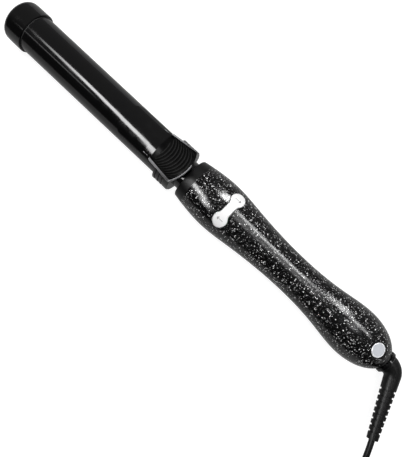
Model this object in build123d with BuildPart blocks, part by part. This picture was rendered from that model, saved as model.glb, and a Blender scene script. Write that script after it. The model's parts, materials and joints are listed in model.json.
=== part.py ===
from build123d import *
import math
import os

os.makedirs("parts", exist_ok=True)

# Rotating curling iron, in millimetres. The barrel points along -X, the handle along +X, the
# buttons face +Z, and Z = 0 is the surface that the handle rests on.
# A size whose name ends in _at is a distance along X from the handle's mouth, positive towards
# the cord, and one that ends in _back is a distance from the handle's rear end, towards the mouth.
# A height is counted from the spin axis unless it says otherwise.

# Clearances
turning_gap = 0.35      # between pieces that turn past each other
bearing_gap = 0.05      # radial clearance of a shaft in its bush
end_gap = 0.4           # along the axis, between a turning face and a fixed one
button_gap = 0.5        # round the rocker in its opening
press_gap = 0.3         # round the power button in its ring

# Barrel, cap and collar
barrel_radius = 16.0
barrel_wall = 1.2
barrel_free = 147.0     # from the cap's rim to the collar
cap_length = 20.4
cap_overhang = 1.6      # of the cap over the barrel
cap_straight = 11.0     # cylindrical part of the cap, from its rim
cap_taper = 0.35        # how much the radius drops from there to the free end
cap_edge = 4.8
cap_wall = 1.6
cap_rim_edge = 0.4
groove_width = 0.8      # dark line between the cap and the barrel
insulator_depth = 9.0   # how far the insulator plugs into the barrel
collar_length = 14.95
collar_overhang = 2.9   # of the collar over the barrel
collar_chamfer = 0.8
ring_count = 3          # ribs round the collar's front
ring_width = 1.7
ring_pitch = 3.4
ring_depth = 1.2
tube_seat = 2.8         # how far the barrel enters the collar
neck_drop = 3.5         # from the barrel's radius to the neck's
neck_length = 6.95      # the part of the neck that shows
neck_entry = 5.0        # the part inside the handle's mouth

# Handle
handle_length = 196.0
handle_wall = 2.2
mouth_radius = 16.9
shoulder_at = 12.0
shoulder_radius = 18.95
front_swell_at = 30.6
front_swell_radius = 20.4
flank_at = 58.0
flank_radius = 17.9
waist_share = 0.5153    # of the handle's length
waist_radius = 14.75
hip_back = 53.4
hip_radius = 17.0
rear_swell_back = 27.0
rear_swell_radius = 19.9
heel_back = 11.5
heel_radius = 17.1
end_radius = 9.8
rest_depth = 0.5        # how deep the flat under the smaller swelling is
nose_length = 8.0
mouth_edge = 0.5
spigot_length = 1.5

# Shaft and its bearings
shaft_radius = 4.5
shaft_bore = 2.8
shaft_end_at = 76.0
shaft_flange_radius = 10.0
shaft_flange = 2.0
flange_screw_count = 3
flange_screw_start = -90.0
collar_pilot = 6.0      # depth of the screw holes in the collar
front_wall = 4.0
bush_flange = 1.0
front_bush_radius = 8.0
rear_bush_radius = 6.8
rear_wall_at = 70.0
rear_wall = 4.0
clip_width = 0.8
clip_radius = 6.6
clip_groove = 0.6

# Gear drive
gear_module = 0.6
gear_teeth = 24
pinion_teeth = 10
tooth_foot = 1.2        # of a tooth below the pitch circle, in modules
tooth_head = 0.9        # above it, in modules
tooth_sink = 0.4        # of a tooth into the wheel
tooth_pitch_share = 1.35    # of a module, its width at the pitch circle
tooth_tip_share = 0.6       # at its tip
gear_root_share = 1.9       # at its root on the gear
pinion_root_share = 1.4     # at its root on the pinion
gear_at = 15.0
gear_width = 4.5
pinion_shaft_radius = 1.5
motor_wall_at = 21.0
motor_wall = 2.0
gearbox_length = 9.0
motor_length = 14.0
motor_width = 12.0
motor_height = 10.0
motor_boss_radius = 2.5
motor_boss = 1.0
motor_screw_middle = 4.4
motor_screw_drop = 2.8  # below the motor's axis
motor_pilot = 3.0
pinion_overhang = 1.0   # of its shaft in front of the pinion
pinion_seat = 7.0       # of its shaft inside the gearbox

# Slip rings and brushes
sleeve_at = 50.0
sleeve_length = 16.0
sleeve_wall = 1.2
slip_ring_count = 3
slip_ring_pitch = 5.0
slip_ring_width = 2.4
slip_ring_height = 0.8
brush_gap = 0.1
brush_holder_height = 2.2
brush_holder_half = 4.0
contact_holder_half = 4.0
contact_half = 1.5
contact_drop = 2.0      # from the contact rings to the holder
holder_rib_half = 2.0

# Control board
board_at = 24.0
board_length = 38.0
board_half = 9.0
board_height = 9.4      # its lower face
board_thick = 1.4
rail_half = 1.0
rail_middle = 11.2      # distance of the chassis rails from the middle plane
rail_rise = 2.0
post_half = 1.5
post_middle = 9.4

# Rocker button and its switches
rocker_at = 40.2
lobe_radius = 5.6
lobe_middle = 9.65
rocker_waist = 6.8
rocker_fillet = 5.0
rocker_proud = 0.6
rocker_thick = 2.4
rocker_edge = 0.5
pivot_height = 13.0
pivot_radius = 0.8
pivot_half = 7.8
lug_middle = 6.4
lug_half = 1.0
switch_side = 6.0
switch_middle = 6.0
switch_height = 3.1
plunger_radius = 1.6
plunger_height = 0.5
stem_radius = 1.5
stem_gap = 0.45

# Power button
power_back = 11.1
power_height = 16.1
power_tilt = 22.0       # degrees that its face leans to the rear
power_radius = 5.6
power_ring = 0.6
power_thick = 1.9
power_edge = 0.4
power_stem = 0.6
power_proud = 0.5
power_recess = 0.6
power_board_back = 18.6
power_board_length = 12.0
power_board_half = 6.5
power_board_height = 9.0
power_board_thick = 1.0
power_switch_height = 1.8

# Cord swivel
drum_radius = 7.0
drum_flange_radius = 8.6
drum_flange = 2.2
socket_radius = 8.2
socket_length = 5.7
socket_rib = 1.5
swivel_neck = 1.9       # of the drum, between the handle and the ring
swivel_ring_radius = 9.0
swivel_ring_length = 2.8
swivel_ring_edge = 0.5
stub_radius = 3.2
stub_length = 9.0
contact_ring_height = 0.8
contact_ring_width = 2.2
contact_pitch = 4.0

# Clamp and thumb lever
clamp_gap = 0.3         # between the closed clamp and the barrel
clamp_thick = 1.2
clamp_tip_at = -66.0
clamp_rear_at = -25.0
clamp_half_angle = 52.0
clamp_corner = 7.0
hinge_at = -15.0
hinge_sink = 2.0        # of the hinge below the barrel's surface
hinge_pin_radius = 1.5
hinge_pin_half = 11.0
hinge_lug_radius = 3.0
hinge_lug_inner = 3.4
hinge_lug_outer = 6.0
pocket_half = 6.5
pocket_front_at = -18.7
pocket_rear_at = -10.0
pocket_room = 4.5       # below the hinge
lever_front_at = -29.0
lever_rear_at = -0.4
lever_corner_at = -7.0
lever_front_half = 13.4
lever_rear_half = 15.8
lever_corner_round = 3.0
lever_slope = 6.5       # degrees that the lever rises to the rear
lever_lift = 3.15       # of its under side over the barrel
lever_thick = 1.6
lever_rim_width = 1.7
lever_rim_rise = 1.3
lever_foot_at = -36.0
grip_thick = 0.4
grip_rise = 0.8
grip_rib_count = 7
grip_rib_pitch = 2.6
grip_rib_width = 1.3
grip_rib_radius = 14.0
grip_first_at = -20.6
spring_wire = 0.4       # radius of its wire
spring_radius = 2.3
spring_half_turns = 5
spring_pitch = 1.6
spring_sides = 6

# Heater
heater_room = 22.0      # between the heater and the collar, for the leads
heater_wall = 1.8
plate_count = 3
plate_length = 34.0
plate_width = 14.0
plate_thick = 2.6
plate_gap = 4.0
lead_radius = 0.6
lead_pitch = 1.5
sensor_back = 30.0      # from the heater's rear end to both sensors
thermistor_radius = 1.4
thermistor_length = 10.0
fuse_radius = 2.0
fuse_length = 14.0

# Screws
shell_screw_clear = 18.0    # from the rear bearing's wall to the first one
shell_screw_back = 44.0     # the last one
shell_screw_radius = 1.3
shell_screw_head = 2.4
shell_screw_cap = 1.6
shell_screw_depth = 9.0     # of the head's seat below the spin axis
shell_screw_tip = 8.0       # of the screw's end above it
board_screw_length = 4.0
shell_boss_radius = 3.4
small_screw_radius = 0.8
small_screw_head = 1.4
small_screw_cap = 1.0

# Boot, cord and plug
cord_radius = 2.25
cord_sides = 6
boot_radius = 7.75
boot_waist_radius = 6.1
boot_tip_radius = 4.2
boot_turn = 67.0        # degrees that the elbow turns sideways
boot_elbow_radius = 8.8
boot_lead = 1.2         # straight part before the elbow
boot_length = 46.2      # straight part after it
boot_smooth = 9.1
boot_groove_count = 8
boot_groove_pitch = 4.4
boot_groove_width = 1.5
boot_groove_depth = 1.0
coil_outer = 34.0       # distance of the outer turn from the coil's middle
coil_step = 7.2         # from one turn to the next in a layer
coil_layers = 4
layer_half_turns = 4
layer_rise = 6.4
tail_radius = 18.0
tail_rise = 3.2
tail_run = 4.0
plug_length = 30.0
plug_half_width = 11.5
plug_half_height = 6.0
plug_root_half_width = 4.5
plug_root_half_height = 4.0
plug_root_round = 2.5
plug_round = 4.0
plug_edge = 1.5
blade_length = 17.0
blade_width = 6.3
blade_thick = 1.5
blade_spacing = 12.7
tie_width = 8.0
tie_thick = 0.8
tie_gap = 0.15          # between the tie and the turns it holds

# Places that follow from the sizes above
cap_radius = barrel_radius + cap_overhang
collar_radius = barrel_radius + collar_overhang
neck_radius = barrel_radius - neck_drop
hinge_height = barrel_radius - hinge_sink
pocket_floor = hinge_height - pocket_room
lever_inner = barrel_radius + lever_lift
waist_at = handle_length * waist_share
hip_at = handle_length - hip_back
rear_swell_at = handle_length - rear_swell_back
heel_at = handle_length - heel_back
power_at = handle_length - power_back
power_board_at = handle_length - power_board_back
first_screw_at = rear_wall_at + shell_screw_clear
last_screw_at = handle_length - shell_screw_back
shell_screw_stations = (first_screw_at, (first_screw_at + last_screw_at) / 2, last_screw_at)
tip_reach = cap_length + barrel_free + collar_length + neck_length
tail_reach = handle_length + swivel_neck + swivel_ring_length
mouth_x = (tip_reach - tail_reach) / 2
tip_x = mouth_x - tip_reach
cap_rim_x = tip_x + cap_length
collar_rear_x = mouth_x - neck_length
collar_front_x = collar_rear_x - collar_length
tube_end_x = collar_front_x + tube_seat
end_x = mouth_x + handle_length
axis_height = min(front_swell_radius, rear_swell_radius) - rest_depth
bore_radius = barrel_radius - barrel_wall
motor_drop = gear_module * (gear_teeth + pinion_teeth) / 2
front_wall_x = mouth_x + nose_length + spigot_length
rear_wall_x = mouth_x + rear_wall_at
gear_x = mouth_x + gear_at
motor_wall_x = mouth_x + motor_wall_at
gearbox_x = motor_wall_x + motor_wall
rocker_x = mouth_x + rocker_at
board_top = board_height + board_thick
sleeve_x = mouth_x + sleeve_at
sleeve_radius = shaft_radius + sleeve_wall
slip_ring_radius = sleeve_radius + slip_ring_height
hinge_x = mouth_x + hinge_at
clamp_inner = barrel_radius + clamp_gap
clamp_outer = clamp_inner + clamp_thick
ring_x = end_x + swivel_neck
drum_x = end_x - socket_length - end_gap - drum_flange
power_board_top = power_board_height + power_board_thick
beyond = 3 * collar_radius      # larger than any radius of the tool

spin_axis = Axis((0, 0, axis_height), (1, 0, 0))
lathe_plane = Plane.XY.offset(axis_height)


def cross_plane(x, height=0.0):
    """Plane square to the tool at x: its own x runs along +Y and its own y along +Z."""
    return Plane(origin=(x, 0, axis_height + height), x_dir=(0, 1, 0), z_dir=(1, 0, 0))


def disc(x_from, x_to, radius, bore=0.0, height=0.0, mode=Mode.ADD):
    """A disc or ring between two places on the tool's axis, or on a line parallel to it."""
    with BuildSketch(cross_plane(x_from, height)) as face:
        Circle(radius)
        if bore > 0:
            Circle(bore, mode=Mode.SUBTRACT)
    extrude(face.sketch, amount=x_to - x_from, mode=mode)


def block(x_span, y_span, z_span, mode=Mode.ADD):
    """A block between two limits each way, its heights counted from the spin axis."""
    middle = [(low + high) / 2 for low, high in (x_span, y_span, z_span)]
    with Locations((middle[0], middle[1], axis_height + middle[2])):
        Box(
            x_span[1] - x_span[0],
            y_span[1] - y_span[0],
            z_span[1] - z_span[0],
            mode=mode,
        )


def post(x, y, z_span, radius, mode=Mode.ADD):
    """An upright round post, its heights counted from the spin axis."""
    with BuildSketch(Plane.XY.offset(axis_height + z_span[0])) as face:
        with Locations((x, y)):
            Circle(radius)
    extrude(face.sketch, amount=z_span[1] - z_span[0], mode=mode)


def cross_rod(x, height, y_span, radius, mode=Mode.ADD):
    """A round rod along Y."""
    plane = Plane(origin=(x, y_span[0], axis_height + height), x_dir=(1, 0, 0), z_dir=(0, 1, 0))
    with BuildSketch(plane) as face:
        Circle(radius)
    extrude(face.sketch, amount=y_span[1] - y_span[0], mode=mode)


handle_stations = (
    (0, mouth_radius),
    (shoulder_at, shoulder_radius),
    (front_swell_at, front_swell_radius),
    (flank_at, flank_radius),
    (waist_at, waist_radius),
    (hip_at, hip_radius),
    (rear_swell_at, rear_swell_radius),
    (heel_at, heel_radius),
    (handle_length, end_radius),
)


def half_profile(inset):
    """Half outline of the handle about its axis, drawn in from the outer face by inset."""
    stations = handle_stations[:-1]
    with BuildSketch(lathe_plane) as profile:
        with BuildLine():
            side = Spline([(mouth_x + station, radius - inset) for station, radius in stations])
            heel = TangentArc(side @ 1, (end_x - inset, end_radius - inset), tangent=side % 1)
            Polyline(heel @ 1, (end_x - inset, 0), (mouth_x, 0), side @ 0)
        make_face()
    return profile.sketch


def outer_radius(x):
    """The handle's outer radius at a place along it."""
    with BuildSketch(lathe_plane) as strip:
        add(half_profile(0))
        with Locations((x, 0)):
            Rectangle(turning_gap, 2 * beyond, mode=Mode.INTERSECT)
    return strip.sketch.bounding_box().max.Y


def cavity_profile():
    """Half outline of the space inside the handle, with straight runs between its stations."""
    points = [(mouth_x + station, radius - handle_wall) for station, radius in handle_stations]
    with BuildSketch(lathe_plane) as profile:
        with BuildLine():
            Polyline(*points, (end_x, 0), (mouth_x, 0), close=True)
        make_face()
    return profile.sketch


def form_slice(profile, x_from, x_to):
    """The part of a form turned about the spin axis that lies between two places."""
    with BuildPart() as piece:
        disc(x_from, x_to, beyond)
        revolve(profile, axis=spin_axis, mode=Mode.INTERSECT)
    return piece.part


def save(piece, name):
    """Name a finished piece and write it."""
    piece.part.label = name
    export_step(piece.part, f"parts/{name}.step")


def biarc(start, leave, finish, arrive):
    """Two arcs, each tangent to the other, from one point and heading to the next."""
    span = finish - start
    turn = leave + arrive
    spread = 2 * (1 - leave.dot(arrive))
    reach = (math.sqrt(span.dot(turn) ** 2 + spread * span.dot(span)) - span.dot(turn)) / spread
    first = start + leave * reach
    second = finish - arrive * reach
    middle = (first + second) / 2
    TangentArc(start, middle, tangent=leave)
    TangentArc(middle, finish, tangent=second - first)


def gear(x_from, x_to, height, teeth, bore, root_share):
    """A spur gear on a line parallel to X, with one tooth along +Y."""
    pitch = gear_module * teeth / 2
    root = pitch - tooth_foot * gear_module
    tip = pitch + tooth_head * gear_module
    widths = ((root - tooth_sink, root_share), (pitch, tooth_pitch_share), (tip, tooth_tip_share))
    outline = [(radius, share * gear_module / 2) for radius, share in widths]
    mirrored = [(radius, -half) for radius, half in reversed(outline)]
    with BuildSketch(cross_plane(x_from, height)) as face:
        Circle(root)
        with PolarLocations(0, teeth):
            Polygon(*outline, *mirrored, align=None)
        Circle(bore, mode=Mode.SUBTRACT)
    extrude(face.sketch, amount=x_to - x_from)


# The handle's two half shells, split at the height of the spin axis
def rocker_outline(grow=0.0):
    """The rocker seen from above: two round lobes joined by a waist."""
    with BuildSketch(lathe_plane) as outline:
        with Locations((rocker_x, 0)):
            Rectangle(rocker_waist, 2 * lobe_middle)
        with Locations((rocker_x, lobe_middle), (rocker_x, -lobe_middle)):
            Circle(lobe_radius)
        corners = [v for v in outline.vertices() if abs(abs(v.X - rocker_x) - rocker_waist / 2) < 0.01]
        fillet(corners, rocker_fillet)
        if grow > 0:
            offset(amount=grow)
    return outline.sketch


power_face = Plane(
    origin=(mouth_x + power_at, 0, axis_height + power_height),
    x_dir=(0, 1, 0),
    z_dir=(math.sin(math.radians(power_tilt)), 0, math.cos(math.radians(power_tilt))),
)


def power_disc(low, high, radius, bore=0.0, mode=Mode.ADD):
    """A disc or ring square to the power button's face, its depths counted from that face."""
    with BuildSketch(power_face.offset(low)) as face:
        Circle(radius)
        if bore > 0:
            Circle(bore, mode=Mode.SUBTRACT)
    extrude(face.sketch, amount=high - low, mode=mode)


socket_rib_x = end_x - socket_length
socket_rib_slice = form_slice(cavity_profile(), socket_rib_x, socket_rib_x + socket_rib)
power_hole_radius = power_radius + press_gap + power_ring
rocker_room = rocker_outline(button_gap)
shell_floor = -axis_height

# Bosses of the screws that hold the shells, and posts that the power button's board hangs on
with BuildPart() as screw_bosses:
    for station in shell_screw_stations:
        post(mouth_x + station, 0, (-beyond, beyond), shell_boss_radius)
    revolve(half_profile(handle_wall / 2), axis=spin_axis, mode=Mode.INTERSECT)
with BuildPart() as board_posts:
    for side in (-1, 1):
        post(
            mouth_x + power_board_at + post_half,
            side * (power_board_half - post_half),
            (power_board_top, beyond),
            post_half,
        )
    revolve(half_profile(handle_wall / 2), axis=spin_axis, mode=Mode.INTERSECT)

with BuildPart() as handle_shell_top:
    revolve(half_profile(0), axis=spin_axis, revolution_arc=180)
    revolve(cavity_profile(), axis=spin_axis, revolution_arc=180, mode=Mode.SUBTRACT)
    add(socket_rib_slice)
    for lug_x in (rocker_x - lug_middle, rocker_x + lug_middle):
        block(
            (lug_x - lug_half, lug_x + lug_half),
            (-2 * pivot_radius, 2 * pivot_radius),
            (pivot_height - 2 * pivot_radius, front_swell_radius - handle_wall),
        )
    add(screw_bosses.part)
    add(board_posts.part)
    for station in shell_screw_stations:
        post(mouth_x + station, 0, (0, shell_screw_depth), shell_screw_radius, Mode.SUBTRACT)
    block((tip_x, end_x + beyond), (-beyond, beyond), (-beyond, 0), Mode.SUBTRACT)
    disc(mouth_x - beyond, mouth_x + nose_length, beyond, mode=Mode.SUBTRACT)
    disc(socket_rib_x, end_x + beyond, socket_radius, mode=Mode.SUBTRACT)
    extrude(rocker_room, amount=beyond, mode=Mode.SUBTRACT)
    cross_pin = (rocker_x - pivot_half, rocker_x + pivot_half)
    disc(*cross_pin, pivot_radius, height=pivot_height, mode=Mode.SUBTRACT)
    power_disc(-2 * handle_wall, beyond, power_hole_radius, mode=Mode.SUBTRACT)
    power_disc(-power_recess, beyond, power_hole_radius + power_ring, mode=Mode.SUBTRACT)
save(handle_shell_top, "handle_shell_top")

holder_x = drum_x - stub_length
holder_span = (holder_x, holder_x + stub_length - 1)

with BuildPart() as handle_shell_bottom:
    revolve(half_profile(0), axis=spin_axis, revolution_arc=-180)
    revolve(cavity_profile(), axis=spin_axis, revolution_arc=-180, mode=Mode.SUBTRACT)
    add(socket_rib_slice)
    add(screw_bosses.part)
    for station in shell_screw_stations:
        post(mouth_x + station, 0, (shell_floor, 0), shell_screw_radius, Mode.SUBTRACT)
        post(mouth_x + station, 0, (shell_floor, -shell_screw_depth), shell_screw_head, Mode.SUBTRACT)
    block(
        holder_span,
        (-holder_rib_half, holder_rib_half),
        (handle_wall - heel_radius, -drum_flange_radius),
    )
    block((tip_x, end_x + beyond), (-beyond, beyond), (0, beyond), Mode.SUBTRACT)
    disc(mouth_x - beyond, mouth_x + nose_length, beyond, mode=Mode.SUBTRACT)
    disc(socket_rib_x, end_x + beyond, socket_radius, mode=Mode.SUBTRACT)
    block((tip_x, end_x), (-beyond, beyond), (-beyond, -axis_height), Mode.SUBTRACT)
save(handle_shell_bottom, "handle_shell_bottom")

# The plain black ring that closes the handle's mouth round the turning neck
nose_slice = form_slice(half_profile(0), mouth_x, mouth_x + nose_length)
spigot_slice = form_slice(cavity_profile(), mouth_x + nose_length, front_wall_x)
nose_bore = neck_radius + turning_gap
with BuildPart() as nose_ring:
    add(nose_slice)
    add(spigot_slice)
    disc(mouth_x, front_wall_x, nose_bore, mode=Mode.SUBTRACT)
    mouth_circles = nose_ring.edges().filter_by(GeomType.CIRCLE).group_by(Axis.X)[0]
    chamfer(mouth_circles.sort_by(SortBy.RADIUS)[-1], mouth_edge)
save(nose_ring, "nose_ring")

# The chassis carries both bearings, the motor and the board between two rails
front_wall_slice = form_slice(cavity_profile(), front_wall_x, front_wall_x + front_wall)
rear_wall_slice = form_slice(cavity_profile(), rear_wall_x, rear_wall_x + rear_wall)
motor_wall_slice = form_slice(cavity_profile(), motor_wall_x, gearbox_x)
post_stations = (board_at + 2 * post_half, board_at + board_length - 2 * post_half)
motor_screw_places = [(side * motor_screw_middle, 0) for side in (-1, 1)]
motor_screw_plane = cross_plane(motor_wall_x, -motor_drop - motor_screw_drop)
with BuildPart() as chassis:
    add(motor_wall_slice)
    motor_floor = -motor_drop - motor_height / 2
    for z_span in ((rail_rise, beyond), (-beyond, motor_floor)):
        block((motor_wall_x, gearbox_x), (-beyond, beyond), z_span, Mode.SUBTRACT)
    add(front_wall_slice)
    add(rear_wall_slice)
    for side in (-1, 1):
        rail = sorted((side * (rail_middle - rail_half), side * (rail_middle + rail_half)))
        block((front_wall_x, rear_wall_x), rail, (-rail_rise, rail_rise))
        for station in post_stations:
            block(
                (mouth_x + station - post_half, mouth_x + station + post_half),
                sorted((side * (post_middle - post_half), side * (post_middle + post_half))),
                (-rail_rise, board_height),
            )
            post(
                mouth_x + station,
                side * (board_half - post_half),
                (0, board_height),
                small_screw_radius,
                Mode.SUBTRACT,
            )
    disc(motor_wall_x, gearbox_x, shaft_radius + 2 * turning_gap, mode=Mode.SUBTRACT)
    disc(motor_wall_x, gearbox_x, pinion_shaft_radius + turning_gap, height=-motor_drop,
         mode=Mode.SUBTRACT)
    with BuildSketch(motor_screw_plane) as screw_holes:
        with Locations(*motor_screw_places):
            Circle(small_screw_radius)
    extrude(amount=motor_wall, mode=Mode.SUBTRACT)
    disc(front_wall_x, front_wall_x + front_wall, front_bush_radius, mode=Mode.SUBTRACT)
    disc(rear_wall_x, rear_wall_x + rear_wall, rear_bush_radius, mode=Mode.SUBTRACT)
save(chassis, "chassis")


# Flanged bushes that the shaft turns in
def bush(x_from, length, radius, flange_x):
    """A flanged bush with a running bore for the shaft."""
    with BuildPart() as piece:
        disc(x_from, x_from + length, radius, shaft_radius + bearing_gap)
        disc(flange_x, flange_x + bush_flange, radius + bush_flange, shaft_radius + bearing_gap)
    return piece


front_bush_x = front_wall_x - bush_flange
front_bearing = bush(front_bush_x, front_wall + bush_flange, front_bush_radius, front_bush_x)
save(front_bearing, "front_bearing")
rear_flange_x = rear_wall_x - bush_flange
rear_bearing = bush(rear_flange_x, rear_wall + bush_flange, rear_bush_radius, rear_flange_x)
save(rear_bearing, "rear_bearing")

# The hollow output shaft, its flange behind the collar's socket
shaft_end_x = mouth_x + shaft_end_at
shaft_flange_x = tube_end_x - shaft_flange
clip_x = rear_wall_x + rear_wall + end_gap


def flange_screws(x_from, radius, length, mode=Mode.ADD):
    """Rods or holes on the circle of the screws that join the shaft to the collar."""
    with BuildSketch(cross_plane(x_from)) as faces:
        with PolarLocations((shaft_radius + shaft_flange_radius) / 2, flange_screw_count, flange_screw_start):
            Circle(radius)
    extrude(faces.sketch, amount=length, mode=mode)


with BuildPart() as output_shaft:
    disc(shaft_flange_x, tube_end_x, shaft_flange_radius)
    disc(tube_end_x, shaft_end_x, shaft_radius)
    disc(shaft_flange_x, shaft_end_x, shaft_bore, mode=Mode.SUBTRACT)
    disc(clip_x, clip_x + clip_width, beyond, shaft_radius - clip_groove, mode=Mode.SUBTRACT)
    flange_screws(shaft_flange_x, small_screw_radius, shaft_flange, Mode.SUBTRACT)
save(output_shaft, "output_shaft")

with BuildPart() as retaining_clip:
    disc(clip_x, clip_x + clip_width, clip_radius, shaft_radius - clip_groove)
    block(
        (clip_x, clip_x + clip_width),
        (-shaft_radius / 2, shaft_radius / 2),
        (-clip_radius, 0),
        Mode.SUBTRACT,
    )
save(retaining_clip, "retaining_clip")

# Drive gear on the shaft, pinion and its shaft below it
with BuildPart() as drive_gear:
    gear(gear_x, gear_x + gear_width, 0, gear_teeth, shaft_radius, gear_root_share)
save(drive_gear, "drive_gear")

with BuildPart() as motor_pinion:
    gear(
        gear_x,
        gear_x + gear_width,
        -motor_drop,
        pinion_teeth,
        pinion_shaft_radius,
        pinion_root_share,
    )
save(motor_pinion, "motor_pinion")

pinion_shaft_end = gearbox_x + pinion_seat
with BuildPart() as pinion_shaft:
    disc(gear_x - pinion_overhang, pinion_shaft_end, pinion_shaft_radius, height=-motor_drop)
save(pinion_shaft, "pinion_shaft")

# Gearbox and motor
motor_x = gearbox_x + gearbox_length
with BuildPart() as gearbox_housing:
    block(
        (gearbox_x, motor_x),
        (-motor_width / 2, motor_width / 2),
        (-motor_drop - motor_height / 2, -motor_drop + motor_height / 2),
    )
    chamfer(gearbox_housing.edges().filter_by(Axis.X), 0.6)
    disc(
        gearbox_x,
        pinion_shaft_end + end_gap,
        pinion_shaft_radius + bearing_gap,
        height=-motor_drop,
        mode=Mode.SUBTRACT,
    )
    with BuildSketch(motor_screw_plane) as pilots:
        with Locations(*motor_screw_places):
            Circle(small_screw_radius)
    extrude(amount=motor_wall + motor_pilot, mode=Mode.SUBTRACT)
save(gearbox_housing, "gearbox_housing")

with BuildPart() as gear_motor:
    disc(motor_x, motor_x + motor_length, motor_width / 2, height=-motor_drop)
    block(
        (motor_x, motor_x + motor_length),
        (-motor_width / 2, motor_width / 2),
        (-motor_drop - motor_height / 2, -motor_drop + motor_height / 2),
        Mode.INTERSECT,
    )
    motor_end_x = motor_x + motor_length
    disc(motor_end_x, motor_end_x + motor_boss, motor_boss_radius, height=-motor_drop)
save(gear_motor, "gear_motor")

with BuildPart() as motor_screws:
    with BuildSketch(motor_screw_plane) as shanks:
        with Locations(*motor_screw_places):
            Circle(small_screw_radius)
    extrude(amount=motor_wall + motor_pilot)
    with BuildSketch(motor_screw_plane) as heads:
        with Locations(*motor_screw_places):
            Circle(small_screw_head)
    extrude(amount=-small_screw_cap)
save(motor_screws, "motor_screws")

# Slip rings on their sleeve, and the brushes that bear on them
with BuildPart() as slip_ring_sleeve:
    disc(sleeve_x, sleeve_x + sleeve_length, sleeve_radius, shaft_radius)
save(slip_ring_sleeve, "slip_ring_sleeve")

slip_ring_spread = (slip_ring_count - 1) * slip_ring_pitch + slip_ring_width
first_slip_ring_x = sleeve_x + (sleeve_length - slip_ring_spread) / 2
slip_ring_starts = [first_slip_ring_x + i * slip_ring_pitch for i in range(slip_ring_count)]
with BuildPart() as slip_rings:
    for start in slip_ring_starts:
        disc(start, start + slip_ring_width, slip_ring_radius, sleeve_radius)
save(slip_rings, "slip_rings")

brush_half = slip_ring_width / 2
with BuildPart() as brush_holder:
    block(
        (sleeve_x, sleeve_x + sleeve_length),
        (-brush_holder_half, brush_holder_half),
        (board_height - brush_holder_height, board_height),
    )
    for start in slip_ring_starts:
        block(
            (start, start + slip_ring_width),
            (-brush_half, brush_half),
            (0, board_height),
            Mode.SUBTRACT,
        )
save(brush_holder, "brush_holder")

with BuildPart() as brushes:
    for start in slip_ring_starts:
        block(
            (start, start + slip_ring_width),
            (-brush_half, brush_half),
            (slip_ring_radius + brush_gap, board_height),
        )
save(brushes, "brushes")

# Control board on the chassis posts, with the two rotation switches under the rocker
board_x = mouth_x + board_at
board_screw_places = [
    (mouth_x + station, side * (board_half - post_half)) for station in post_stations for side in (-1, 1)
]
with BuildPart() as control_board:
    block((board_x, board_x + board_length), (-board_half, board_half), (board_height, board_top))
    for x, y in board_screw_places:
        post(x, y, (board_height, board_top), small_screw_radius, Mode.SUBTRACT)
save(control_board, "control_board")

with BuildPart() as board_screws:
    for x, y in board_screw_places:
        post(x, y, (board_top - board_screw_length, board_top), small_screw_radius)
        post(x, y, (board_top, board_top + small_screw_cap), small_screw_head)
save(board_screws, "board_screws")

with BuildPart() as rotation_switches:
    for side in (-1, 1):
        block(
            (rocker_x - switch_side / 2, rocker_x + switch_side / 2),
            (side * switch_middle - switch_side / 2, side * switch_middle + switch_side / 2),
            (board_top, board_top + switch_height),
        )
        switch_top = board_top + switch_height
        post(rocker_x, side * switch_middle, (switch_top, switch_top + plunger_height), plunger_radius)
save(rotation_switches, "rotation_switches")

# Rocker button, curved with the handle's top, on its pivot pin
rocker_shape = rocker_outline()
rocker_span = (rocker_x - lobe_radius, rocker_x + lobe_radius)
with BuildSketch(lathe_plane) as crown_profile:
    crown_ends = [(x, outer_radius(x) + rocker_proud) for x in rocker_span]
    Polygon((rocker_span[0], 0), *crown_ends, (rocker_span[1], 0), align=None)
with BuildPart() as rocker_crown:
    revolve(crown_profile.sketch, axis=spin_axis)
plunger_top = board_top + switch_height + plunger_height
with BuildPart() as rocker_button:
    extrude(rocker_shape, amount=beyond)
    add(rocker_crown.part, mode=Mode.INTERSECT)
    disc(
        rocker_x - beyond,
        rocker_x + beyond,
        front_swell_radius + rocker_proud - rocker_thick,
        mode=Mode.SUBTRACT,
    )
    chamfer(rocker_button.faces().sort_by(Axis.Z)[-1].edges(), rocker_edge)
    for side in (-1, 1):
        post(
            rocker_x,
            side * switch_middle,
            (plunger_top + stem_gap, front_swell_radius - rocker_thick),
            stem_radius,
        )
    block(
        (rocker_x - rocker_waist / 2, rocker_x + rocker_waist / 2),
        (-2 * pivot_radius, 2 * pivot_radius),
        (pivot_height - 2 * pivot_radius, front_swell_radius - rocker_thick),
    )
    disc(
        rocker_x - rocker_waist,
        rocker_x + rocker_waist,
        pivot_radius + bearing_gap,
        height=pivot_height,
        mode=Mode.SUBTRACT,
    )
save(rocker_button, "rocker_button")

with BuildPart() as rocker_pivot_pin:
    disc(rocker_x - pivot_half, rocker_x + pivot_half, pivot_radius, height=pivot_height)
save(rocker_pivot_pin, "rocker_pivot_pin")

# Power button in its ring, over its own switch and board
with BuildPart() as power_button:
    power_disc(power_proud - power_thick, power_proud, power_radius)
    chamfer(power_button.edges().group_by(Axis.Z)[-1], power_edge)
    power_disc(-power_thick - power_stem, power_proud - power_thick, stem_radius)
save(power_button, "power_button")

with BuildPart() as power_button_surround:
    power_disc(-power_thick, power_ring / 3, power_hole_radius, power_radius + press_gap)
save(power_button_surround, "power_button_surround")

power_board_x = mouth_x + power_board_at
with BuildPart() as power_board:
    block(
        (power_board_x, power_board_x + power_board_length),
        (-power_board_half, power_board_half),
        (power_board_height, power_board_top),
    )
save(power_board, "power_board")

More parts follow.
